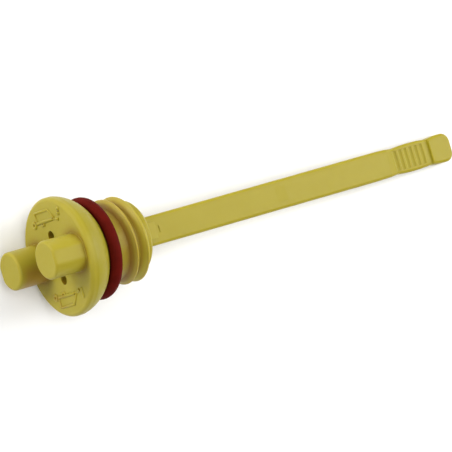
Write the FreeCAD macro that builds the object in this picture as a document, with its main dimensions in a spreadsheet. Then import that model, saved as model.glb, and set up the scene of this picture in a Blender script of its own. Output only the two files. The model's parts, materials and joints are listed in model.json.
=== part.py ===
import FreeCAD, Part
import math
import os

import Sketcher

# Oil dipstick: a moulded filler plug with a screw thread, a finger grip of two pegs and a
# long flat measuring bar, and the O-ring that seals it. Millimetres and degrees.
#
# Both pieces are drawn on one axis: X runs from the front face of the flange (x = 0) towards
# the tip of the bar, Z runs through the two pegs and square to the bar's broad faces. The part
# then lies as it comes to rest, on the rim of the flange and on the tip, so the axis dips
# towards the tip.

# Driving sizes. Every name is a cell of the sheet.
SIZES = {
    # flange
    "flange_radius": 17.5,
    "flange_depth": 8.8,
    "face_round": 1.2,
    "rim_band": 1.25,
    "back_lean": 12.0,
    "seat_width": 1.9,
    # finger grip: two pegs with a flat on their outer side
    "peg_radius": 5.65,
    "peg_length": 10.3,
    "peg_flat_cut": 0.35,
    "peg_margin": 0.45,
    "peg_side_round": 2.0,
    "peg_round": 0.85,
    "peg_foot_round": 0.25,
    # blind holes in the face, beside the pegs
    "hole_radius": 1.55,
    "hole_offset": 6.45,
    "hole_depth": 3.0,
    # neck and its O-ring
    "neck_radius": 11.5,
    "neck_margin": 0.2,
    "neck_chamfer": 0.5,
    "ring_cord": 3.6,
    "ring_play": 0.6,
    "ring_clearance": 0.02,
    # screw thread on its core
    "core_radius": 10.8,
    "core_chamfer": 0.9,
    "thread_depth": 2.0,
    "thread_pitch": 3.75,
    "thread_turns": 2.0,
    "thread_crest": 0.5,
    "thread_crown": 0.1,
    "flank_angle": 36.0,
    "thread_sink": 0.15,
    "thread_lead_in": 3.9,
    "end_land": 1.65,
    # measuring bar
    "bar_width": 8.76,
    "bar_thickness": 4.6,
    "bar_round": 0.95,
    "stick_length": 143.25,
    "gusset_length": 7.0,
    "gusset_width": 4.9,
    "gusset_height": 2.4,
    "bar_sink": 2.0,
    "gusset_sink": 1.0,
    "feature_depth": 0.6,
    "slit_gap": 0.45,
    "slit_width": 0.6,
    "slit_span": 2.1,
    "slit_depth": 0.2,
    "ramp_place": 80.15,
    "ramp_length": 3.5,
    "ramp_width": 4.4,
    "ramp_height": 0.2,
    # oil level zone: thinner, with cross grooves, and barrel-shaped between two waists
    "level_length": 12.85,
    "level_cut": 0.8,
    "level_round": 0.8,
    "bar_taper": 4.0,
    "slope_length": 2.7,
    "slope_side_cut": 0.1,
    "level_front": 0.75,
    "level_side_cut": 0.35,
    "waist_cut": 0.45,
    "waist_rise": 1.0,
    "waist_back": 0.3,
    "barrel_end_cut": 0.28,
    "barrel_cut": 0.02,
    "groove_pitch": 2.0,
    "groove_count": 6,
    "groove_radius": 0.9,
    "groove_depth": 0.35,
    "groove_span": 6.2,
    "groove_margin": 2.85,
    # block at the tip
    "tip_length": 7.95,
    "tip_swell": 0.02,
    "tip_flare": 4.2,
    "tip_neck_cut": 0.45,
    "tip_corner": 2.7,
    "shoulder_round": 0.35,
    "tip_sink": 0.5,
    # how far a cutting outline reaches past the moulding
    "cut_reach": 1.0,
}

# Sizes that follow from the driving ones.
DERIVED = {
    "face_flat_radius": "flange_radius - face_round",
    "rim_end": "face_round + rim_band",
    "seat_radius": "neck_radius + seat_width",
    "back_run": "flange_depth - rim_end",
    "back_fall": "flange_radius - seat_radius",
    "back_chord": "sqrt(back_run^2 + back_fall^2)",
    "back_half_turn": "atan(back_fall / back_run) - back_lean * 1deg",
    "back_round": "back_chord / (2 * sin(back_half_turn))",
    "back_centre_along": "rim_end - back_round * sin(back_lean * 1deg)",
    "back_centre_out": "flange_radius - back_round * cos(back_lean * 1deg)",
    "peg_flat": "peg_radius - peg_flat_cut",
    "peg_offset": "face_flat_radius - peg_margin - peg_flat",
    "peg_flat_place": "peg_offset + peg_flat",
    "peg_flat_half": "sqrt(peg_radius^2 - peg_flat^2)",
    "ring_cord_radius": "ring_cord / 2",
    "ring_radius": "neck_radius + ring_clearance + ring_cord_radius",
    "ring_place": "flange_depth + ring_play + ring_cord_radius",
    "neck_end": "ring_place + ring_cord_radius + neck_margin",
    "core_start": "neck_end + neck_chamfer",
    "thread_start": "neck_end + thread_lead_in",
    "core_end": "thread_start + thread_turns * thread_pitch + end_land",
    "core_edge_start": "core_end - core_chamfer",
    "core_edge_radius": "core_radius - core_chamfer",
    "thread_radius": "core_radius + thread_depth",
    "thread_root": "core_radius - thread_sink",
    "crest_side": "thread_radius - thread_crown",
    "crest_half": "thread_crest / 2",
    "ridge_half": "crest_half + (crest_side - thread_root) * tan(flank_angle * 1deg)",
    "crown_radius": "(crest_half^2 + thread_crown^2) / (2 * thread_crown)",
    "crown_centre": "thread_radius - crown_radius",
    "ridge_front": "thread_start - ridge_half",
    "ridge_back": "thread_start + ridge_half",
    "crest_front": "thread_start - crest_half",
    "crest_back": "thread_start + crest_half",
    "run_in_end": "thread_start + thread_pitch / 2",
    "run_in_start": "thread_start - thread_pitch / 2",
    "run_out_start": "thread_start + (thread_turns - 0.5) * thread_pitch",
    "run_out_end": "core_end + cut_reach",
    "thread_clear_radius": "thread_radius + cut_reach",
    "bar_root": "core_end - bar_sink",
    "bar_half": "bar_width / 2",
    "bar_flat": "bar_half - bar_round",
    "bar_face": "bar_thickness / 2",
    "bar_side": "bar_face - bar_round",
    "bar_clear": "bar_face + cut_reach",
    "bar_run": "taper_start - bar_root",
    "feature_floor": "bar_face - feature_depth",
    "gusset_start": "core_end - gusset_sink",
    "gusset_end": "core_end + gusset_length",
    "gusset_slope": "gusset_height / gusset_length",
    "gusset_top": "bar_face + gusset_height + gusset_sink * gusset_slope",
    "slit_start": "gusset_end + slit_gap",
    "slit_end": "slit_start + slit_width",
    "slit_floor": "bar_face - slit_depth",
    "ramp_start": "ramp_place - ramp_length",
    "ramp_top": "bar_face + ramp_height",
    "level_end": "stick_length - tip_length",
    "level_face": "bar_face - level_cut",
    "level_side": "level_face - level_round",
    "groove_last": "level_end - groove_margin",
    "groove_run": "(groove_count - 1) * groove_pitch",
    "groove_first": "groove_last - groove_run",
    "groove_centre": "level_face + groove_radius - groove_depth",
    "waist_one": "level_end - level_length",
    "level_start": "waist_one - level_front",
    "slope_start": "level_start - slope_length",
    "taper_start": "slope_start - bar_taper",
    "waist_one_end": "waist_one + waist_rise",
    "waist_two": "level_end - waist_back",
    "waist_two_start": "waist_two - waist_rise",
    "waist_two_end": "level_end + tip_sink",
    "barrel_middle": "(waist_one_end + waist_two_start) / 2",
    "slope_half": "bar_half - slope_side_cut",
    "slope_flat": "slope_half - bar_round",
    "level_half": "bar_half - level_side_cut",
    "level_flat": "level_half - level_round",
    "waist_half": "bar_half - waist_cut",
    "waist_flat": "waist_half - level_round",
    "barrel_end_half": "bar_half - barrel_end_cut",
    "barrel_end_flat": "barrel_end_half - level_round",
    "barrel_half": "bar_half - barrel_cut",
    "barrel_flat": "barrel_half - level_round",
    "tip_half": "bar_half + tip_swell",
    "tip_neck_half": "bar_half - tip_neck_cut",
    "tip_end_half": "tip_half - tip_corner",
    "tip_corner_start": "stick_length - tip_corner",
    "tip_flare_end": "level_end + tip_flare",
    "tip_flare_fall": "tip_half - tip_neck_half",
    "tip_flare_round": "(tip_flare^2 + tip_flare_fall^2) / (2 * tip_flare_fall)",
    "tip_flare_centre": "tip_half - tip_flare_round",
    "tip_contact": "stick_length - bar_round",
}

NEAR = 1e-4


# Document and sheet


def fill_sheet(doc):
    """Write the driving sizes and the ones that follow from them, each cell under its name."""
    sheet = doc.addObject("Spreadsheet::Sheet", "sizes")
    row = 1
    for name, size in SIZES.items():
        sheet.set(f"A{row}", name)
        sheet.set(f"B{row}", str(size))
        sheet.setAlias(f"B{row}", name)
        row += 1
    for name, formula in DERIVED.items():
        sheet.set(f"A{row}", name)
        sheet.set(f"B{row}", "=" + formula)
        sheet.setAlias(f"B{row}", name)
        row += 1
    doc.recompute()
    return sheet


def value(sheet, name):
    """Number in the cell of that name, with its sign turned by a leading minus."""
    if name.startswith("-"):
        return -value(sheet, name[1:])
    return float(sheet.get(name))


def cell(name):
    """Expression that reads the cell of that name, which may have a leading minus."""
    if name.startswith("-"):
        return "-sizes." + name[1:]
    return "sizes." + name


def bind(thing, prop, name):
    """Tie a property of a feature to a cell."""
    thing.setExpression(prop, cell(name))


# Sketches


def plane_of(body, role):
    """Origin plane of a body by its role, such as XZ_Plane."""
    return [item for item in body.Origin.OriginFeatures if item.Role == role][0]


def new_sketch(body, role, name):
    """Empty sketch on an origin plane of the body."""
    sketch = body.newObject("Sketcher::SketchObject", name)
    sketch.AttachmentSupport = (plane_of(body, role), [""])
    sketch.MapMode = "FlatFace"
    return sketch


def hold(sketch, sheet, geometry, point, across, up):
    """Hold one point of a sketch at the cells across and up; 0 is the axis, None is free."""
    for kind, name, axis in (("DistanceX", across, -2), ("DistanceY", up, -1)):
        if name is None:
            continue
        if name == 0:
            sketch.addConstraint(Sketcher.Constraint("PointOnObject", geometry, point, axis))
            continue
        place = value(sheet, name)
        index = sketch.addConstraint(Sketcher.Constraint(kind, -1, 1, geometry, point, place))
        sketch.setExpression(f"Constraints[{index}]", cell(name))


def number(sheet, name):
    """Number for a corner's coordinate, where 0 stands for an axis."""
    return 0.0 if name == 0 else value(sheet, name)


def outline(sketch, sheet, corners, arcs=None, loose=(), long_way=()):
    """Closed outline through corners, each a pair of cells.

    arcs gives, for the side after a corner, the cells of the arc's centre. An arc goes the short
    way round its centre, unless long_way names its side. The height of a loose corner follows
    from its arc.
    """
    arcs = arcs or {}
    spots = [FreeCAD.Vector(number(sheet, x), number(sheet, y), 0) for x, y in corners]
    first = sketch.GeometryCount
    ends = []
    for side, start in enumerate(spots):
        end = spots[(side + 1) % len(spots)]
        if side in arcs:
            centre_x, centre_y = arcs[side]
            centre = FreeCAD.Vector(number(sheet, centre_x), number(sheet, centre_y), 0)
            reach = (start - centre).Length
            towards = (start - centre + end - centre).normalize()
            middle = centre + towards * (-reach if side in long_way else reach)
            index = sketch.addGeometry(Part.Arc(start, middle, end))
            forward = (sketch.getPoint(index, 1) - start).Length < NEAR
            ends.append((1, 2) if forward else (2, 1))
        else:
            sketch.addGeometry(Part.LineSegment(start, end))
            ends.append((1, 2))
    for side in range(len(spots)):
        after = (side + 1) % len(spots)
        join = ("Coincident", first + side, ends[side][1], first + after, ends[after][0])
        sketch.addConstraint(Sketcher.Constraint(*join))
    for side, (x, y) in enumerate(corners):
        hold(sketch, sheet, first + side, ends[side][0], x, None if side in loose else y)
        if side in arcs:
            hold(sketch, sheet, first + side, 3, *arcs[side])


def disc(sketch, sheet, across, up, radius):
    """Circle with its centre and radius held by cells."""
    centre = FreeCAD.Vector(number(sheet, across), number(sheet, up), 0)
    size = value(sheet, radius)
    circle = sketch.addGeometry(Part.Circle(centre, FreeCAD.Vector(0, 0, 1), size))
    hold(sketch, sheet, circle, 3, across, up)
    index = sketch.addConstraint(Sketcher.Constraint("Radius", circle, size))
    sketch.setExpression(f"Constraints[{index}]", cell(radius))


# Features


def revolve(body, sketch, name):
    """Turn a sketch about X."""
    feature = body.newObject("PartDesign::Revolution", name)
    feature.Profile = sketch
    feature.ReferenceAxis = (sketch, ["H_Axis"])
    feature.Angle = 360
    sketch.Visibility = False
    return feature


def across(body, sketch, kind, name, width):
    """Pad or Pocket of a sketch, as far to one side as to the other; width is its formula."""
    feature = body.newObject("PartDesign::" + kind, name)
    feature.Profile = sketch
    feature.Midplane = True
    feature.setExpression("Length", width)
    sketch.Visibility = False
    return feature


def loft(body, sections, name, ruled):
    """Body through sections one behind the other, with straight or with smooth sides."""
    feature = body.newObject("PartDesign::AdditiveLoft", name)
    feature.Profile = sections[0]
    feature.Sections = sections[1:]
    feature.Ruled = ruled
    for sketch in sections:
        sketch.Visibility = False
    return feature


def round_edges(body, base, name, size, chosen):
    """Fillet the edges of the base that the test chosen accepts."""
    names = [f"Edge{i + 1}" for i, edge in enumerate(base.Shape.Edges) if chosen(edge)]
    feature = body.newObject("PartDesign::Fillet", name)
    feature.Base = (base, names)
    bind(feature, "Radius", size)
    return feature


def lies_at(edge, x):
    """True for an edge that lies in the plane across the axis at x."""
    box = edge.BoundBox
    return abs(box.XMin - x) < NEAR and abs(box.XMax - x) < NEAR


# The moulded dipstick


def plug_body(body, sheet):
    """Flange with its rounded rim, neck for the O-ring and core of the thread, turned."""
    sketch = new_sketch(body, "XZ_Plane", "plug_profile")
    corners = [
        (0, 0),
        (0, "face_flat_radius"),
        ("face_round", "flange_radius"),
        ("rim_end", "flange_radius"),
        ("flange_depth", "seat_radius"),
        ("flange_depth", "neck_radius"),
        ("neck_end", "neck_radius"),
        ("core_start", "core_radius"),
        ("core_edge_start", "core_radius"),
        ("core_end", "core_edge_radius"),
        ("core_end", 0),
    ]
    arcs = {
        1: ("face_round", "face_flat_radius"),
        3: ("back_centre_along", "back_centre_out"),
    }
    outline(sketch, sheet, corners, arcs, loose=(2, 4))
    return revolve(body, sketch, "plug_turned")


def tip_block(body, sheet):
    """Block at the tip: necked towards the level zone, with rounded corners and edges."""
    sketch = new_sketch(body, "XY_Plane", "tip_plan")
    corners = [
        ("level_end", "-tip_neck_half"),
        ("tip_flare_end", "-tip_half"),
        ("tip_corner_start", "-tip_half"),
        ("stick_length", "-tip_end_half"),
        ("stick_length", "tip_end_half"),
        ("tip_corner_start", "tip_half"),
        ("tip_flare_end", "tip_half"),
        ("level_end", "tip_neck_half"),
    ]
    arcs = {
        0: ("tip_flare_end", "-tip_flare_centre"),
        2: ("tip_corner_start", "-tip_end_half"),
        4: ("tip_corner_start", "tip_end_half"),
        6: ("tip_flare_end", "tip_flare_centre"),
    }
    outline(sketch, sheet, corners, arcs, loose=(0, 2, 5, 7))
    pad = across(body, sketch, "Pad", "tip_pad", "sizes.bar_thickness")
    body.Document.recompute()
    face = value(sheet, "bar_face")
    wall = value(sheet, "level_end")

    def is_rim(edge):
        box = edge.BoundBox
        flat = abs(abs(box.ZMin) - face) < NEAR and abs(abs(box.ZMax) - face) < NEAR
        return flat and box.ZLength < NEAR and not lies_at(edge, wall)

    rims = round_edges(body, pad, "tip_edges", "bar_round", is_rim)
    body.Document.recompute()

    def is_shoulder(edge):
        box = edge.BoundBox
        return lies_at(edge, wall) and box.ZLength < NEAR

    return round_edges(body, rims, "shoulder_edges", "shoulder_round", is_shoulder)


def bar_section(body, sheet, place, half, flat, side, face):
    """Rectangle with rounded corners across the bar, at a place along it.

    half and face are half its width and thickness, flat and side where the corners start.
    """
    sketch = new_sketch(body, "YZ_Plane", place + "_section")
    bind(sketch, "AttachmentOffset.Base.z", place)
    corners = [
        (half, "-" + side),
        (half, side),
        (flat, face),
        ("-" + flat, face),
        ("-" + half, side),
        ("-" + half, "-" + side),
        ("-" + flat, "-" + face),
        (flat, "-" + face),
    ]
    arcs = {
        1: (flat, side),
        3: ("-" + flat, side),
        5: ("-" + flat, "-" + side),
        7: (flat, "-" + side),
    }
    outline(sketch, sheet, corners, arcs, loose=(2, 3, 6, 7))
    return sketch


def level_zone(body, sheet):
    """Thinner length between the bar and the tip: taper, slope, waist, barrel, second waist."""

    def level(place, half, flat):
        return bar_section(body, sheet, place, half, flat, "level_side", "level_face")

    bar = bar_section(body, sheet, "taper_start", "bar_half", "bar_flat", "bar_side", "bar_face")
    slope = bar_section(body, sheet, "slope_start", "slope_half", "slope_flat", "bar_side", "bar_face")
    start = level("level_start", "level_half", "level_flat")
    waist = level("waist_one", "waist_half", "waist_flat")
    front = level("waist_one_end", "barrel_end_half", "barrel_end_flat")
    middle = level("barrel_middle", "barrel_half", "barrel_flat")
    back = level("waist_two_start", "barrel_end_half", "barrel_end_flat")
    second = level("waist_two", "waist_half", "waist_flat")
    inner = level("waist_two_end", "waist_half", "waist_flat")
    body.Document.recompute()
    loft(body, [back, second, inner], "second_waist", True)
    body.Document.recompute()
    loft(body, [front, middle, back], "barrel", False)
    body.Document.recompute()
    return loft(body, [bar, slope, start, waist, front], "first_waist", True)


def bar_body(body, sheet):
    """Plain length of the bar, from inside the core to the level zone."""
    sketch = bar_section(body, sheet, "bar_root", "bar_half", "bar_flat", "bar_side", "bar_face")
    pad = body.newObject("PartDesign::Pad", "bar")
    pad.Profile = sketch
    bind(pad, "Length", "bar_run")
    return pad


def thread_ridge(body, sheet):
    """Right-hand ridge, swept along its helix from the underside of the core."""
    sketch = new_sketch(body, "XZ_Plane", "ridge_profile")
    corners = [
        ("ridge_front", "-thread_root"),
        ("crest_front", "-crest_side"),
        ("crest_back", "-crest_side"),
        ("ridge_back", "-thread_root"),
    ]
    arcs = {1: ("thread_start", "-crown_centre")}
    outline(sketch, sheet, corners, arcs, loose=(2,))
    ridge = body.newObject("PartDesign::AdditiveHelix", "thread")
    ridge.Profile = sketch
    ridge.ReferenceAxis = (sketch, ["H_Axis"])
    ridge.Mode = 1
    ridge.LeftHanded = False
    bind(ridge, "Pitch", "thread_pitch")
    bind(ridge, "Turns", "thread_turns")
    sketch.Visibility = False
    return ridge


def thread_run_outs(body, sheet):
    """Flats that touch the core and fade the ridge in and out over a tenth of a turn."""
    sketch = new_sketch(body, "XZ_Plane", "run_out_flats")
    for start, end in (("run_in_start", "run_in_end"), ("run_out_start", "run_out_end")):
        corners = [
            (start, "-core_radius"),
            (end, "-core_radius"),
            (end, "-thread_clear_radius"),
            (start, "-thread_clear_radius"),
        ]
        outline(sketch, sheet, corners)
    return across(body, sketch, "Pocket", "thread_run_outs", "2 * sizes.thread_clear_radius")


def peg(body, sheet):
    """One peg of the finger grip, round with a flat on its outer side."""
    sketch = new_sketch(body, "YZ_Plane", "peg_section")
    corners = [("-peg_flat_half", "peg_flat_place"), ("peg_flat_half", "peg_flat_place")]
    outline(sketch, sheet, corners, {1: (0, "peg_offset")}, loose=(1,), long_way=(1,))
    pad = body.newObject("PartDesign::Pad", "peg")
    pad.Profile = sketch
    pad.Reversed = True
    bind(pad, "Length", "peg_length")
    return pad


def gusset(body, sheet):
    """Sloping rib on the broad face, from the end of the core down to the bar."""
    sketch = new_sketch(body, "XZ_Plane", "gusset_profile")
    corners = [
        ("gusset_start", "feature_floor"),
        ("gusset_start", "gusset_top"),
        ("gusset_end", "bar_face"),
        ("gusset_end", "feature_floor"),
    ]
    outline(sketch, sheet, corners)
    return across(body, sketch, "Pad", "gusset", "sizes.gusset_width")


def ramp(body, sheet):
    """Low ramp half way along the bar, which rises towards the tip and drops off."""
    sketch = new_sketch(body, "XZ_Plane", "ramp_profile")
    corners = [
        ("ramp_start", "feature_floor"),
        ("ramp_start", "bar_face"),
        ("ramp_place", "ramp_top"),
        ("ramp_place", "feature_floor"),
    ]
    outline(sketch, sheet, corners)
    return across(body, sketch, "Pad", "ramp", "sizes.ramp_width")


def slit(body, sheet):
    """Short slit across the bar behind the gusset."""
    sketch = new_sketch(body, "XZ_Plane", "slit_section")
    corners = [
        ("slit_start", "slit_floor"),
        ("slit_end", "slit_floor"),
        ("slit_end", "bar_clear"),
        ("slit_start", "bar_clear"),
    ]
    outline(sketch, sheet, corners)
    return across(body, sketch, "Pocket", "slit", "sizes.slit_span")


def mirror(body, features, name):
    """The same features on the far side of the axis, half a turn away."""
    mirrored = body.newObject("PartDesign::Mirrored", name)
    mirrored.Originals = features
    mirrored.MirrorPlane = (plane_of(body, "XY_Plane"), [""])
    body.Tip = mirrored
    return mirrored


def level_grooves(body, sheet):
    """Round-bottomed cross grooves in both faces, repeated towards the tip."""
    sketch = new_sketch(body, "XZ_Plane", "groove_section")
    for centre in ("groove_centre", "-groove_centre"):
        disc(sketch, sheet, "groove_first", centre, "groove_radius")
    cut = across(body, sketch, "Pocket", "groove", "sizes.groove_span")
    pattern = body.newObject("PartDesign::LinearPattern", "level_grooves")
    pattern.Originals = [cut]
    pattern.Direction = (sketch, ["H_Axis"])
    bind(pattern, "Length", "groove_run")
    bind(pattern, "Occurrences", "groove_count")
    body.Tip = pattern
    return pattern


def face_holes(body, sheet):
    """Two blind holes in the face, on the line square to the pegs."""
    sketch = new_sketch(body, "YZ_Plane", "face_hole_circles")
    for side in ("hole_offset", "-hole_offset"):
        disc(sketch, sheet, side, 0, "hole_radius")
    cut = body.newObject("PartDesign::Pocket", "face_holes")
    cut.Profile = sketch
    cut.Reversed = True
    bind(cut, "Length", "hole_depth")
    return cut


def round_pegs(body, sheet, base):
    """Rounded ends and feet of the pegs, and soft edges along their flats."""
    doc = body.Document
    end = -value(sheet, "peg_length")
    flat = value(sheet, "peg_flat_place")

    def is_side(edge):
        box = edge.BoundBox
        level = max(abs(abs(box.ZMin) - flat), abs(abs(box.ZMax) - flat)) < NEAR
        return level and box.XMax < NEAR and box.YLength < NEAR

    sides = round_edges(body, base, "peg_sides", "peg_side_round", is_side)
    doc.recompute()
    ends = round_edges(body, sides, "peg_ends", "peg_round", lambda edge: lies_at(edge, end))
    doc.recompute()
    offset = value(sheet, "peg_offset")
    reach = value(sheet, "peg_radius") + NEAR

    def is_foot(edge):
        if not lies_at(edge, 0):
            return False
        return all(math.hypot(p.Point.y, abs(p.Point.z) - offset) < reach for p in edge.Vertexes)

    return round_edges(body, ends, "peg_feet", "peg_foot_round", is_foot)


def make_dipstick(doc, sheet):
    """The whole moulding, as one body."""
    body = doc.addObject("PartDesign::Body", "dipstick")
    body.Label = "dipstick"
    tip_block(body, sheet)
    doc.recompute()
    level_zone(body, sheet)
    doc.recompute()
    bar_body(body, sheet)
    doc.recompute()
    plug_body(body, sheet)
    doc.recompute()
    thread_ridge(body, sheet)
    thread_run_outs(body, sheet)
    doc.recompute()
    sides = [peg(body, sheet), gusset(body, sheet), ramp(body, sheet), slit(body, sheet)]
    doc.recompute()
    mirror(body, sides, "far_side")
    doc.recompute()
    level_grooves(body, sheet)
    doc.recompute()
    holes = face_holes(body, sheet)
    doc.recompute()
    round_pegs(body, sheet, holes)
    doc.recompute()
    return body


# The O-ring


def make_ring(doc, sheet):
    """Round-section seal on the neck, behind the flange."""
    body = doc.addObject("PartDesign::Body", "o_ring")
    body.Label = "o_ring"
    sketch = new_sketch(body, "XZ_Plane", "ring_section")
    disc(sketch, sheet, "ring_place", "ring_radius", "ring_cord_radius")
    revolve(body, sketch, "ring_turned")
    doc.recompute()
    return body


# Resting place


def lay_down(bodies, sheet):
    """Turn and lift the bodies so that the rim and the tip both touch the ground, z = 0.

    The rim stands on the edge where its back starts to lean in, the tip on its rounded edge.
    """
    run = value(sheet, "tip_contact") - value(sheet, "rim_end")
    fall = value(sheet, "flange_radius") - value(sheet, "bar_side")
    tip_round = value(sheet, "bar_round")
    dip = math.degrees(math.atan2(fall, run) - math.asin(tip_round / math.hypot(run, fall)))
    turn = FreeCAD.Rotation(FreeCAD.Vector(0, 1, 0), dip)
    whole = FreeCAD.BoundBox()
    for body in bodies:
        body.Placement = FreeCAD.Placement(FreeCAD.Vector(), turn)
        whole.add(body.Shape.optimalBoundingBox(True, False))
    shift = FreeCAD.Vector(-whole.Center.x, -whole.Center.y, -whole.ZMin)
    for body in bodies:
        body.Placement = FreeCAD.Placement(shift, turn)
    return dip


def check(doc, bodies):
    """Stop unless every object is sound and every body is one valid solid."""
    for item in doc.Objects:
        if {"Invalid", "Error"} & set(item.State):
            raise RuntimeError(f"{item.Name}: {item.getStatusString()}")
    for body in bodies:
        shape = body.Shape
        if shape.isNull() or not shape.isValid() or len(shape.Solids) != 1:
            raise RuntimeError(f"{body.Label} is not one valid solid")


def main():
    doc = FreeCAD.newDocument("oil_dipstick")
    sheet = fill_sheet(doc)
    bodies = [make_dipstick(doc, sheet), make_ring(doc, sheet)]
    doc.recompute()
    check(doc, bodies)
    dip = lay_down(bodies, sheet)
    doc.recompute()
    os.makedirs("parts", exist_ok=True)
    for body in bodies:
        body.Shape.exportStep(os.path.join("parts", body.Label + ".step"))
        box = body.Shape.optimalBoundingBox(True, False)
        print(body.Label, "volume", round(body.Shape.Volume, 1), "z", round(box.ZMin, 3), round(box.ZMax, 3))
    print("axis dips", round(dip, 3), "degrees")


main()
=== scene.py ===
import json
import math

import bpy
from mathutils import Matrix, Vector


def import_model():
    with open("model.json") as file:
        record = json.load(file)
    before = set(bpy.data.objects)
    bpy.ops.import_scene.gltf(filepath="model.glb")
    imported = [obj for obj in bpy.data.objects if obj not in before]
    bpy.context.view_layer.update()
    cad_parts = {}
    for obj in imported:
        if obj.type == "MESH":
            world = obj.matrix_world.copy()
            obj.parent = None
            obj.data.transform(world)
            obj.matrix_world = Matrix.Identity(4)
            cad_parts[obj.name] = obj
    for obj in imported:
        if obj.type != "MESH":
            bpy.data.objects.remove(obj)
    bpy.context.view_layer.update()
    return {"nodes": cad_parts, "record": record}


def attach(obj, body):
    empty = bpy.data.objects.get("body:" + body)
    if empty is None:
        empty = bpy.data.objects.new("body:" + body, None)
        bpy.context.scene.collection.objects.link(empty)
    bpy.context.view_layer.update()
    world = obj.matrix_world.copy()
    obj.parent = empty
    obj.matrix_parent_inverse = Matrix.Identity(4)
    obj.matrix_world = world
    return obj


# Oil dipstick: a yellow-green moulded plug with a long flat measuring bar and a dark red O-ring,
# lying on a pale floor. Lengths in metres unless a comment says otherwise.

MM = 0.001

# Distance along the axis from the flange's face to the thread mount, where the core starts
CORE_START = 13.7 * MM

# Camera: the photo's long lens. In its picture the part's axis rises to the right, points away
# from the viewer and is rolled about itself by these angles. The anchor is the point on the axis
# that lies this far behind the face, and falls on this pixel.
PHOTO_PIXELS = 452
FOCAL_PIXELS = 4000
SENSOR_MM = 36.0
CAMERA_DISTANCE = 1141.8 * MM
CLIP_NEAR = 0.05
CLIP_FAR = 10.0
AXIS_RISE = math.radians(16.1)
AXIS_AWAY = math.radians(32.95)
AXIS_ROLL = math.radians(-0.6)
ANCHOR_PIXEL = (60.1, 257.2)
ANCHOR_ALONG = 0.89 * MM

# Raised signs on the face: a plain oil can on each side of the pegs, one pouring and one with a
# level bar. Points are (towards the near peg, away from the middle). They and the radii of the
# small rings are in millimetres.
CAN_BODY = [(-5.4, 11.0), (-5.5, 14.0), (2.0, 14.0), (5.1, 10.9)]
CAN_LID = [(-5.4, 11.0), (3.6, 11.0)]
CAN_SPOUT = [(5.1, 10.9), (6.7, 10.4)]
CAN_CAP = [(-2.9, 10.7), (-2.9, 10.0), (-1.7, 10.0), (-1.7, 10.7)]
CAN_RING_CENTRE = (-7.1, 10.8)
CAN_RING_RADIUS = 0.75
CAN_RING_STEPS = 16
LEVEL_BAR = [(8.1, 10.0), (8.1, 13.0)]
FALLING_DROPS = [(7.4, 12.1), (7.8, 13.3)]
DROP_RING_RADIUS = 0.12
DROP_RING_STEPS = 8

# Radii of the signs' round lines, and how far behind the face their middle lies
SIGN_LINE = 0.54 * MM
SIGN_DROP = 0.62 * MM
SIGN_SINK = 0.15 * MM
SIGN_BEVEL_STEPS = 3

# Noises: scale, detail and roughness, and the middle range that a noise mostly stays in
FLOW_NOISE = (220.0, 4.0, 0.6)
SKIN_NOISE = (900.0, 5.0, 0.55)
DUST_NOISE = (300.0, 5.0, 0.6)
GRAIN_NOISE = (1800.0, 3.0, 0.5)
FLOOR_NOISE = (6.0, 2.0, 0.5)
NOISE_MIDDLE = (0.3, 0.7)

# Surfaces: a bump is a strength and a height, and a pair of roughnesses is a noise's low and high
SWELL_BUMP = (0.02, 0.4 * MM)
SKIN_BUMP = (0.08, 0.05 * MM)
PLASTIC_ROUGHNESS = (0.38, 0.50)
PLASTIC_SPECULAR = 0.22
SCATTER_WEIGHT = 0.4
SCATTER_RADIUS = (0.8, 0.62, 0.15)
SCATTER_SCALE = 1.8 * MM
GRAIN_BUMP = (0.12, 0.05 * MM)
RUBBER_ROUGHNESS = (0.52, 0.64)
RUBBER_SPECULAR = 0.02
FLOOR_ROUGHNESS = 0.9

# Colours, linear. All after PLASTIC_DEEP up to END_CREST are tints that multiply the plastic's
# colour. They were fitted to the photo, which can't tell a stain from shade. Apart from the film of
# oil on the bar and the tint that changes nothing, they are painted shade and painted light: shade
# in hollows, creases, thread roots and flanks, browner on the far peg's lower side and darker on the
# rim, and light on the thread's crests and end.
PLASTIC = (0.373, 0.309, 0.027)
PLASTIC_DEEP = (0.362, 0.298, 0.023)
# Painted shade: the grip's hollows darker and browner
HOLLOW_SHADE = (0.64, 0.45, 0.22)
# Painted shade in fine creases
CREASE_SHADE = (0.84, 0.78, 0.62)
# Painted shade: the far peg's lower side browner
PEG_SHADE = (0.93, 0.72, 1.15)
# Painted shade: the rim darker and greener
RIM_SHADE = (0.87, 0.885, 0.70)
OIL_FILM = (0.965, 0.96, 0.72)
# Painted shade on the thread's flanks, from light to deep
THIN_SHADE = (0.92, 0.88, 1.0)
HALF_SHADE = (0.86, 0.70, 0.82)
DEEP_FLANK_SHADE = (0.84, 0.70, 0.82)
# Painted shade in the thread's roots
ROOT_SHADE = (0.68, 0.44, 0.66)
UNTINTED = (1.0, 1.0, 1.0)
# Painted light on the thread's crests
LIT_CREST = (1.08, 1.00, 1.60)
# Painted light at the thread's end, most on its flanks
END_ROOT = (1.06, 0.98, 1.10)
END_FLANK = (1.18, 1.24, 1.10)
END_CREST = (1.02, 1.10, 1.00)
RUBBER = (0.120, 0.0074, 0.0042)
RUBBER_DEEP = (0.090, 0.0062, 0.0036)
FLOOR = (0.93, 0.93, 0.93)
FLOOR_LIGHT = (0.95, 0.95, 0.95)
BACKDROP = (1.0, 1.0, 1.0)

# Ramps over a noise
PLASTIC_TONES = [(0.30, PLASTIC_DEEP), (0.70, PLASTIC)]
RUBBER_TONES = [(0.35, RUBBER_DEEP), (0.70, RUBBER)]
FLOOR_TONES = [(0.0, FLOOR), (1.0, FLOOR_LIGHT)]

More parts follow.
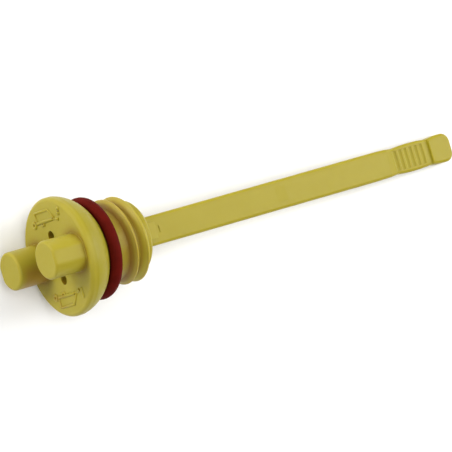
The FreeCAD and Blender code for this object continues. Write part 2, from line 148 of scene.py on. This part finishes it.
# Where a tint starts and where it is full. Along the axis the face is 0, the pegs are negative
# and the tip is positive; near grows towards the near peg; across grows upwards in the photo;
# out is the distance from the axis.
GRIP_ALONG = (2.5 * MM, 0.5 * MM)
# Where the painted brown shade on the far peg lies
PEG_SHADE_ALONG = (-9.6 * MM, -7.6 * MM)
PEG_SHADE_FOOT = (0.0, -0.8 * MM)
PEG_SHADE_NEAR = (-1.0 * MM, -3.0 * MM)
PEG_SHADE_ACROSS = (1.0 * MM, -2.0 * MM)
RIM_ALONG = (1.4 * MM, 2.6 * MM)
RIM_OUT = (13.0 * MM, 14.0 * MM)
THREAD_ALONG = (13.9 * MM, 14.3 * MM)
THREAD_TAIL = (18.5 * MM, 22.5 * MM)
BAR_ALONG = (26.6 * MM, 27.0 * MM)

# Hollows, which get painted shade: how far around a point the surface is looked at, and the
# openness at which the painted shade starts and is full
CREASE_REACH = 0.9 * MM
HOLLOW_REACH = 3.0 * MM
CREASE_OPEN = (0.90, 0.55)
HOLLOW_SHADE_OPEN = (0.95, 0.50)
ROOT_OPEN = (0.93, 0.83)
HOLLOW_SAMPLES = 8

# Thread: radii between which the height goes from 0, a little under the core's surface, to 1 at
# the crests; the heights over which the painted shade in the roots sets in; ramps over the height
# of painted shade on the flanks, painted light on the crests and painted light at the end; and
# the share of the painted shade that is left at the thread's end
THREAD_OUT = (10.6 * MM, 12.8 * MM)
ROOT_HEIGHT = (0.05, 0.08)
FLANK_SHADES = [
    (0.0, UNTINTED),
    (0.08, THIN_SHADE),
    (0.11, THIN_SHADE),
    (0.20, HALF_SHADE),
    (0.48, DEEP_FLANK_SHADE),
    (0.72, UNTINTED),
]
CREST_LIGHT = [(0.55, UNTINTED), (0.865, LIT_CREST)]
END_LIGHTS = [(0.10, UNTINTED), (0.20, END_ROOT), (0.52, END_FLANK), (0.72, END_FLANK), (0.88, END_CREST)]
SHADE_AT_END = 0.08

# Half the length of the square floor's side
FLOOR_HALF = 3.0

# Softboxes, all at one distance from the point they look at: azimuth from +X and elevation in
# degrees, length of a side, power in watts
LIGHT_AIM = (0.0, 0.0, 0.02)
LIGHT_DISTANCE = 0.8
BIG_BOX = 0.5
SMALL_BOX = 0.28
SOFTBOXES = {
    "right_high": (0, 42, BIG_BOX, 4.4),
    "right": (0, 22, BIG_BOX, 1.6),
    "top": (90, 22, BIG_BOX, 1.55),
    "top_low": (120, 12, SMALL_BOX, 0.75),
    "left_top": (150, 12, SMALL_BOX, 3.1),
    "left_high": (180, 65, BIG_BOX, 2.05),
    "left_low": (225, 42, BIG_BOX, 0.9),
    "low": (270, 12, SMALL_BOX, 0.4),
    "overhead": (0, 90, BIG_BOX, 2.05),
}


# The part's own axes


def part_axes(record):
    """Matrix from the dipstick's own axes to the world: X to the tip, Z to the near peg."""
    thread = [mount for mount in record["mounts"] if mount["name"] == "thread"][0]
    along = Vector(thread["axis"]).normalized()
    across = Vector((0.0, 1.0, 0.0))
    near = along.cross(across)
    face = Vector(thread["pos_m"]) - CORE_START * along
    turn = Matrix((along, across, near)).transposed()
    return Matrix.Translation(face) @ turn.to_4x4()


# Materials


class Nodes:
    """Short way to add and link the nodes of one material."""

    def __init__(self, name):
        self.material = bpy.data.materials.new(name)
        self.material.use_nodes = True
        self.tree = self.material.node_tree
        self.shader = self.tree.nodes["Principled BSDF"]

    def feed(self, socket, source):
        """Link another node's output to a socket, or set the socket's own value."""
        if isinstance(source, bpy.types.NodeSocket):
            self.tree.links.new(source, socket)
        elif socket.type == "RGBA":
            socket.default_value = (*source, 1.0)
        else:
            socket.default_value = source

    def add(self, kind, inputs=None, **settings):
        """New node with its settings and inputs."""
        node = self.tree.nodes.new(kind)
        for key, setting in settings.items():
            setattr(node, key, setting)
        for key, source in (inputs or {}).items():
            self.feed(node.inputs[key], source)
        return node

    def shade(self, key, source):
        """Feed one input of the material's shader."""
        self.feed(self.shader.inputs[key], source)

    def place(self):
        """Object coordinates, which are the world's while the part is at rest."""
        return self.add("ShaderNodeTexCoord").outputs["Object"]

    def part_place(self, part):
        """Distances along the part's three axes, and out from its long axis."""
        back = part.inverted()
        inputs = {"Vector": self.place(), "Location": back.translation, "Rotation": back.to_euler()}
        own = self.add("ShaderNodeMapping", inputs).outputs["Vector"]
        split = self.add("ShaderNodeSeparateXYZ", {"Vector": own}).outputs
        flat = self.add("ShaderNodeCombineXYZ", {"Y": split["Y"], "Z": split["Z"]}).outputs["Vector"]
        out = self.add("ShaderNodeVectorMath", {0: flat}, operation="LENGTH").outputs["Value"]
        return split["X"], split["Y"], split["Z"], out

    def noise(self, place, scale, detail, roughness):
        """Noise from 0 to 1."""
        inputs = {"Vector": place, "Scale": scale, "Detail": detail, "Roughness": roughness}
        return self.add("ShaderNodeTexNoise", inputs).outputs["Fac"]

    def ramp(self, source, stops):
        """Colour that follows a number through the stops, which new elements are moved to."""
        node = self.add("ShaderNodeValToRGB", {"Fac": source})
        ramp = node.color_ramp
        while len(ramp.elements) < len(stops):
            ramp.elements.new(0.5)
        for element, (place, colour) in zip(ramp.elements, stops):
            element.position = place
            element.color = (*colour, 1.0)
        return node.outputs["Color"]

    def tint(self, colour, share, veil):
        """Colour multiplied by a veil, as far as the share says."""
        node = self.add("ShaderNodeMix", {"Factor": share}, data_type="RGBA", blend_type="MULTIPLY")
        sockets = {socket.identifier: socket for socket in (*node.inputs, *node.outputs)}
        self.feed(sockets["A_Color"], colour)
        self.feed(sockets["B_Color"], veil)
        return sockets["Result_Color"]

    def fade(self, source, start, end, low=0.0, high=1.0):
        """Number that goes from low to high while the source goes from start to end."""
        inputs = {"Value": source, "From Min": start, "From Max": end, "To Min": low, "To Max": high}
        return self.add("ShaderNodeMapRange", inputs).outputs["Result"]

    def spread(self, source, low, high):
        """The middle range of a noise, spread from low to high."""
        return self.fade(source, *NOISE_MIDDLE, low, high)

    def hollow(self, reach, openness, own=True):
        """How much the surface lies in a hollow, of its own piece or of any."""
        inputs = {"Distance": reach}
        node = self.add("ShaderNodeAmbientOcclusion", inputs, samples=HOLLOW_SAMPLES, only_local=own)
        return self.fade(node.outputs["AO"], *openness)

    def times(self, product, *factors):
        """Product of all the numbers."""
        for factor in factors:
            node = self.add("ShaderNodeMath", {0: product, 1: factor}, operation="MULTIPLY")
            product = node.outputs["Value"]
        return product

    def bump(self, source, strength, height, under=None):
        """Normal of a bumped surface, over another bump's normal if one is given."""
        inputs = {"Height": source, "Strength": strength, "Distance": height}
        if under is not None:
            inputs["Normal"] = under
        return self.add("ShaderNodeBump", inputs).outputs["Normal"]


def grip_tints(nodes, tone, along, across, near):
    """Painted shade in the hollows and creases of the grip, and painted brown shade on the lower half
    of the far peg.
    """
    in_grip = nodes.fade(along, *GRIP_ALONG)
    # Painted shade in the grip's hollows, deepest where the surface is most enclosed
    tone = nodes.tint(tone, nodes.times(nodes.hollow(HOLLOW_REACH, HOLLOW_SHADE_OPEN), in_grip), HOLLOW_SHADE)
    # Painted shade in the grip's fine creases, also where the signs meet the face
    creases = nodes.hollow(CREASE_REACH, CREASE_OPEN, own=False)
    tone = nodes.tint(tone, nodes.times(creases, in_grip), CREASE_SHADE)
    # Painted brown shade on the lower half of the far peg, from near its end to its foot
    peg_shaded = nodes.times(
        nodes.fade(along, *PEG_SHADE_ALONG),
        nodes.fade(near, *PEG_SHADE_NEAR),
        nodes.fade(along, *PEG_SHADE_FOOT),
        nodes.fade(across, *PEG_SHADE_ACROSS),
    )
    return nodes.tint(tone, peg_shaded, PEG_SHADE)


def rim_and_bar_tints(nodes, tone, along, out):
    """Painted shade on the flange's rim and outer back, darker and greener, and a film of oil on the
    bar.
    """
    # Painted shade on the rim band and the flange's outer back
    on_rim = nodes.times(nodes.fade(along, *RIM_ALONG), nodes.fade(out, *RIM_OUT))
    tone = nodes.tint(tone, on_rim, RIM_SHADE)
    return nodes.tint(tone, nodes.fade(along, *BAR_ALONG), OIL_FILM)


def thread_tints(nodes, tone, along, out):
    """Painted shade on the thread's roots and flanks, painted light on its crests, and less painted
    shade and more painted light at its end.
    """
    height = nodes.fade(out, *THREAD_OUT)
    in_thread = nodes.fade(along, *THREAD_ALONG)
    shade_share = nodes.times(in_thread, nodes.fade(along, *THREAD_TAIL, 1.0, SHADE_AT_END))
    # Painted shade deep in the thread's roots, where the surface is enclosed
    root_shaded = nodes.times(nodes.hollow(HOLLOW_REACH, ROOT_OPEN), shade_share)
    tone = nodes.tint(tone, nodes.times(root_shaded, nodes.fade(height, *ROOT_HEIGHT)), ROOT_SHADE)
    # Painted shade on the flanks, deepest a little below half their height and none at the crests
    tone = nodes.tint(tone, shade_share, nodes.ramp(height, FLANK_SHADES))
    # Painted light on the thread's crests, lighter and paler towards them
    tone = nodes.tint(tone, in_thread, nodes.ramp(height, CREST_LIGHT))
    # Painted light at the thread's end, most on the flanks
    return nodes.tint(tone, nodes.fade(along, *THREAD_TAIL), nodes.ramp(height, END_LIGHTS))


def plastic(part):
    """Semi-gloss moulded plastic with faint flow mottling, a fine uneven skin and its tints."""
    nodes = Nodes("moulded_plastic")
    place = nodes.place()
    flow = nodes.noise(place, *FLOW_NOISE)
    skin = nodes.noise(place, *SKIN_NOISE)
    along, across, near, out = nodes.part_place(part)
    tone = nodes.ramp(flow, PLASTIC_TONES)
    tone = grip_tints(nodes, tone, along, across, near)
    tone = rim_and_bar_tints(nodes, tone, along, out)
    nodes.shade("Base Color", thread_tints(nodes, tone, along, out))
    nodes.shade("Roughness", nodes.spread(skin, *PLASTIC_ROUGHNESS))
    swell = nodes.bump(flow, *SWELL_BUMP)
    nodes.shade("Normal", nodes.bump(skin, *SKIN_BUMP, swell))
    nodes.shade("Specular IOR Level", PLASTIC_SPECULAR)
    nodes.shade("Subsurface Weight", SCATTER_WEIGHT)
    nodes.shade("Subsurface Radius", SCATTER_RADIUS)
    nodes.shade("Subsurface Scale", SCATTER_SCALE)
    return nodes.material


def rubber():
    """Smooth seal rubber with a dull sheen, a little dust and faint mould grain."""
    nodes = Nodes("seal_rubber")
    place = nodes.place()
    dust = nodes.noise(place, *DUST_NOISE)
    grain = nodes.noise(place, *GRAIN_NOISE)
    nodes.shade("Base Color", nodes.ramp(dust, RUBBER_TONES))
    nodes.shade("Roughness", nodes.spread(dust, *RUBBER_ROUGHNESS))
    nodes.shade("Normal", nodes.bump(grain, *GRAIN_BUMP))
    nodes.shade("Specular IOR Level", RUBBER_SPECULAR)
    return nodes.material


def floor_paint():
    """Matt white floor with a barely visible unevenness."""
    nodes = Nodes("floor_white")
    uneven = nodes.noise(nodes.place(), *FLOOR_NOISE)
    nodes.shade("Base Color", nodes.ramp(uneven, FLOOR_TONES))
    nodes.shade("Roughness", FLOOR_ROUGHNESS)
    return nodes.material


def dress(shape, material):
    """Give an object its only material."""
    shape.data.materials.clear()
    shape.data.materials.append(material)


# Raised signs on the face


def put(name, data):
    """New object in the scene."""
    shape = bpy.data.objects.new(name, data)
    bpy.context.scene.collection.objects.link(shape)
    return shape


def wire(name, strokes, part, radius, closed=False):
    """Raised round line through each stroke's points, more than half sunk in the face."""
    curve = bpy.data.curves.new(name, "CURVE")
    curve.dimensions = "3D"
    curve.bevel_depth = radius
    curve.bevel_resolution = SIGN_BEVEL_STEPS
    curve.use_fill_caps = True
    for points in strokes:
        spline = curve.splines.new("POLY")
        spline.points.add(len(points) - 1)
        spline.use_cyclic_u = closed
        for point, (near, across) in zip(spline.points, points):
            point.co = (SIGN_SINK, across * MM, near * MM, 1.0)
    holder = put(name, curve)
    bpy.context.view_layer.update()
    graph = bpy.context.evaluated_depsgraph_get()
    mesh = bpy.data.meshes.new_from_object(holder.evaluated_get(graph))
    bpy.data.objects.remove(holder)
    mesh.transform(part)
    mesh.shade_smooth()
    return put(name, mesh)


def ring(centre, radius, steps):
    """Points of a small circle."""
    turns = [2 * math.pi * step / steps for step in range(steps)]
    return [(centre[0] + radius * math.cos(t), centre[1] + radius * math.sin(t)) for t in turns]


def flipped(strokes):
    """The same strokes on the other side of the face's middle."""
    return [[(near, -across) for near, across in points] for points in strokes]


def signs(part, material):
    """Both oil can signs: the upper one pours, the lower one has a level bar."""
    can = [CAN_LID, CAN_SPOUT, CAN_CAP]
    loops = [CAN_BODY, ring(CAN_RING_CENTRE, CAN_RING_RADIUS, CAN_RING_STEPS)]
    drops = [ring(centre, DROP_RING_RADIUS, DROP_RING_STEPS) for centre in FALLING_DROPS]
    pieces = [
        wire("sign_pour_lines", can, part, SIGN_LINE),
        wire("sign_pour_loops", loops, part, SIGN_LINE, closed=True),
        wire("sign_pour_drops", drops, part, SIGN_DROP, closed=True),
        wire("sign_level_lines", flipped(can + [LEVEL_BAR]), part, SIGN_LINE),
        wire("sign_level_loops", flipped(loops), part, SIGN_LINE, closed=True),
    ]
    for piece in pieces:
        dress(piece, material)
        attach(piece, "root")


# Stage, camera and light


def floor(material):
    """Large pale floor that the part lies on."""
    half = FLOOR_HALF
    mesh = bpy.data.meshes.new("floor")
    square = [(-half, -half, 0), (half, -half, 0), (half, half, 0), (-half, half, 0)]
    mesh.from_pydata(square, [], [(0, 1, 2, 3)])
    plane = put("floor", mesh)
    dress(plane, material)


def camera_turn(part):
    """World rotation of the camera whose picture shows the part's axis as the photo does."""
    rise_cos, rise_sin = math.cos(AXIS_RISE), math.sin(AXIS_RISE)
    away_cos, away_sin = math.cos(AXIS_AWAY), math.sin(AXIS_AWAY)
    along = Vector((away_cos * rise_cos, away_cos * rise_sin, -away_sin))
    upright = Vector((-rise_sin, rise_cos, 0.0))
    turned = along.cross(upright)
    across = math.cos(AXIS_ROLL) * upright + math.sin(AXIS_ROLL) * turned
    near = along.cross(across)
    return part.to_3x3() @ Matrix((along, across, near))


def camera(part):
    """The photo's camera, placed so that the anchor falls on its pixel."""
    turn = camera_turn(part)
    middle = PHOTO_PIXELS / 2
    right = (ANCHOR_PIXEL[0] - middle) / FOCAL_PIXELS * CAMERA_DISTANCE
    up = (middle - ANCHOR_PIXEL[1]) / FOCAL_PIXELS * CAMERA_DISTANCE
    anchor = part @ Vector((ANCHOR_ALONG, 0.0, 0.0))
    data = bpy.data.cameras.new("camera")
    data.sensor_width = SENSOR_MM
    data.lens = FOCAL_PIXELS / PHOTO_PIXELS * SENSOR_MM
    data.clip_start = CLIP_NEAR
    data.clip_end = CLIP_FAR
    shot = put("camera", data)
    place = anchor - turn @ Vector((right, up, -CAMERA_DISTANCE))
    shot.matrix_world = Matrix.Translation(place) @ turn.to_4x4()
    bpy.context.scene.camera = shot


def softbox(name, azimuth, elevation, side, power):
    """Square area light in the given direction from the aim, which it looks at."""
    data = bpy.data.lights.new(name, "AREA")
    data.size = side
    data.energy = power
    turn, rise = math.radians(azimuth), math.radians(elevation)
    flat = math.cos(rise)
    towards = Vector((flat * math.cos(turn), flat * math.sin(turn), math.sin(rise))).normalized()
    facing = towards.to_track_quat("Z", "Y").to_matrix().to_4x4()
    lamp = put(name, data)
    lamp.matrix_world = Matrix.Translation(Vector(LIGHT_AIM) + towards * LIGHT_DISTANCE) @ facing


def light():
    """Soft studio light. The world is white to the camera and lights nothing."""
    for name, (azimuth, elevation, side, power) in SOFTBOXES.items():
        softbox(name, azimuth, elevation, side, power)
    world = bpy.data.worlds.new("white_backdrop")
    world.use_nodes = True
    backdrop = world.node_tree.nodes["Background"]
    backdrop.inputs["Color"].default_value = (*BACKDROP, 1.0)
    seen = world.node_tree.nodes.new("ShaderNodeLightPath")
    world.node_tree.links.new(seen.outputs["Is Camera Ray"], backdrop.inputs["Strength"])
    bpy.context.scene.world = world
    bpy.context.scene.view_settings.view_transform = "Standard"
    bpy.context.scene.view_settings.look = "None"


def main():
    """Dress the frame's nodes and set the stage."""
    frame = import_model()
    part = part_axes(frame["record"])
    moulding = plastic(part)
    dress(frame["nodes"]["dipstick"], moulding)
    dress(frame["nodes"]["o_ring"], rubber())
    signs(part, moulding)
    floor(floor_paint())
    camera(part)
    light()


main()
